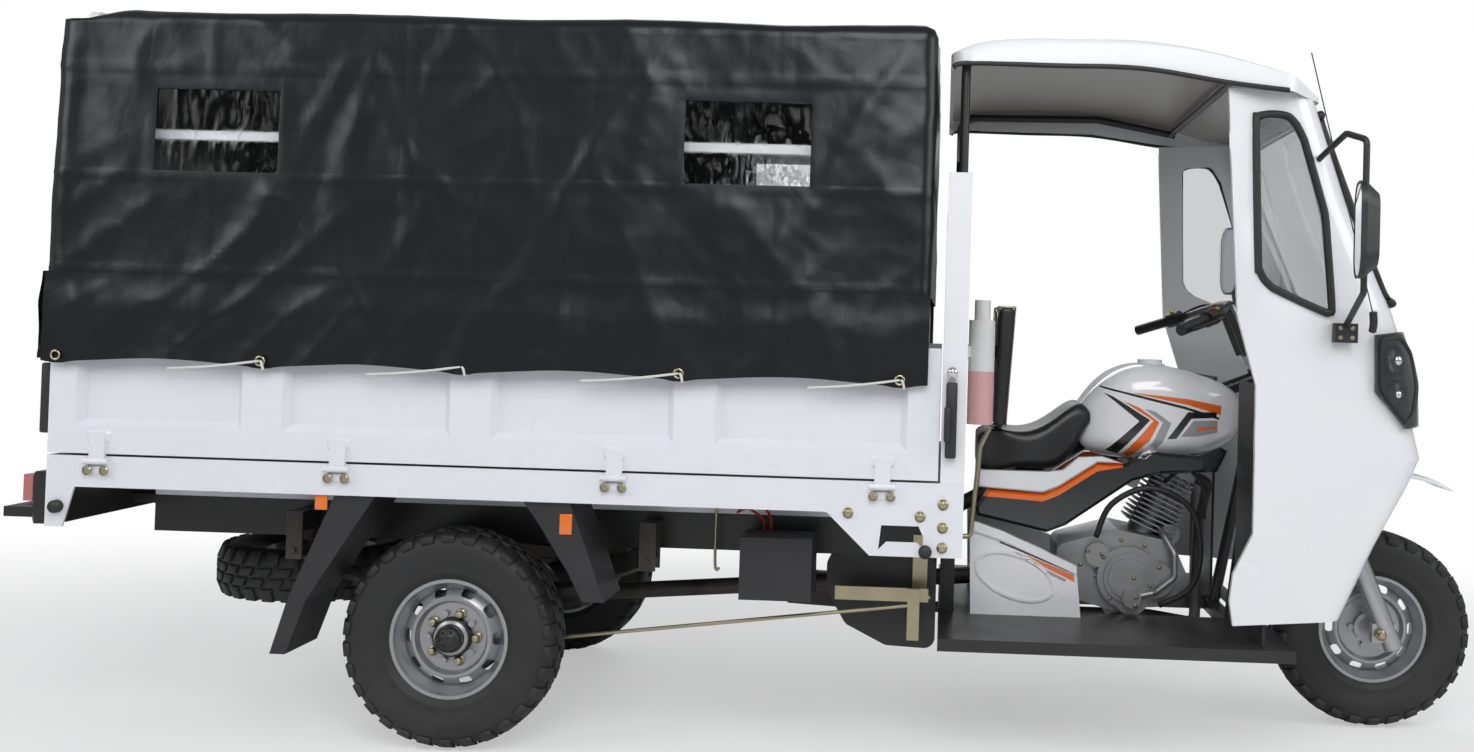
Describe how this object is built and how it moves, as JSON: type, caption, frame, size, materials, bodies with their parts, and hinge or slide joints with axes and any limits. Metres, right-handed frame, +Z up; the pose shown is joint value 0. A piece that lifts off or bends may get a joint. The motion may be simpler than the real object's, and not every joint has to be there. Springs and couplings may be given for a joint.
{
  "type": "cargo motor tricycle",
  "caption": "Cargo motor tricycle with a steered front wheel under a half cab, a saddle, and a drop-side load bed under a tied cloth cover.",
  "frame": {"origin": "on the ground, in the middle of the length and width", "axes": "+X forward, +Y to the vehicle's left, +Z up"},
  "size_m": [3.9969, 1.6486, 1.9119],
  "materials": {
    "white_steel": "gloss",
    "side_paint": "gloss",
    "black_steel": "satin",
    "white_plastic": "gloss",
    "black_plastic": "satin",
    "clear_plastic": "gloss",
    "glass": "gloss",
    "lamp_glass": "gloss",
    "tyre": "matte",
    "rim_paint": "satin",
    "cast_alloy": "satin",
    "bright_steel": "satin",
    "dark_steel": "satin",
    "cloth": "satin",
    "leather": "satin",
    "fork_metal": "satin"
  },
  "bodies": {
    "chassis": {"backrest": "leather", "bed_floor": "black_steel", "bed_frame": "white_steel", "body_panels": "white_plastic", "brake_linkage": "bright_steel", "bulkhead": "white_steel", "cab_frame": "black_steel", "cab_roof": "white_plastic", "cab_shell": "white_plastic", "chassis_frame": "black_steel", "coolant_bottle": "clear_plastic", "cover": "cloth", "cover_frame": "bright_steel", "engine": "cast_alloy", "exhaust": "dark_steel", "footboard": "black_steel", "front_wall": "black_plastic", "fuel_tank": "white_steel", "lamps": "lamp_glass", "leaf_springs": "dark_steel", "mirrors": "black_plastic", "mud_flaps": "black_plastic", "propeller_shaft": "dark_steel", "rear_axle": "black_steel", "rear_bumper": "black_steel", "saddle": "leather", "side_boxes": "black_plastic", "spare_rim": "rim_paint", "spare_tyre": "tyre", "window_panes": "glass"},
    "drop_side_right": {"side_right": "side_paint", "skirt_right": "cloth"},
    "drop_side_left": {"side_left": "side_paint", "skirt_left": "cloth"},
    "rear_gate": {"tailgate": "side_paint", "skirt_rear": "cloth"},
    "rear_wheel_right": {"tyre_rear_right": "tyre", "rim_rear_right": "rim_paint"},
    "rear_wheel_left": {"tyre_rear_left": "tyre", "rim_rear_left": "rim_paint"},
    "steering": {"fork": "fork_metal", "handlebar": "black_steel", "front_fender": "white_plastic"},
    "front_wheel": {"tyre_front": "tyre", "rim_front": "rim_paint"}
  },
  "joints": [
    {"name": "drop_side_right_hinge", "type": "hinge", "parent": "chassis", "child": "drop_side_right", "pos_m": [-0.75, -0.672, 0.723], "axis": [1, 0, 0], "range_deg": [0, 170]},
    {"name": "drop_side_left_hinge", "type": "hinge", "parent": "chassis", "child": "drop_side_left", "pos_m": [-0.75, 0.672, 0.723], "axis": [-1, 0, 0], "range_deg": [0, 170]},
    {"name": "rear_gate_hinge", "type": "hinge", "parent": "chassis", "child": "rear_gate", "pos_m": [-1.862, 0, 0.723], "axis": [0, -1, 0], "range_deg": [0, 110]},
    {"name": "rear_wheel_right_spin", "type": "hinge", "parent": "chassis", "child": "rear_wheel_right", "pos_m": [-0.817, -0.54, 0.284], "axis": [0, 1, 0], "continuous": true},
    {"name": "rear_wheel_left_spin", "type": "hinge", "parent": "chassis", "child": "rear_wheel_left", "pos_m": [-0.817, 0.54, 0.284], "axis": [0, 1, 0], "continuous": true},
    {"name": "steering_pivot", "type": "hinge", "parent": "chassis", "child": "steering", "pos_m": [1.4113, 0, 0.95], "axis": [-0.3907, 0, 0.9205], "range_deg": [-40, 40]},
    {"name": "front_wheel_spin", "type": "hinge", "parent": "steering", "child": "front_wheel", "pos_m": [1.713, 0, 0.284], "axis": [0, 1, 0], "continuous": true}
  ]
}
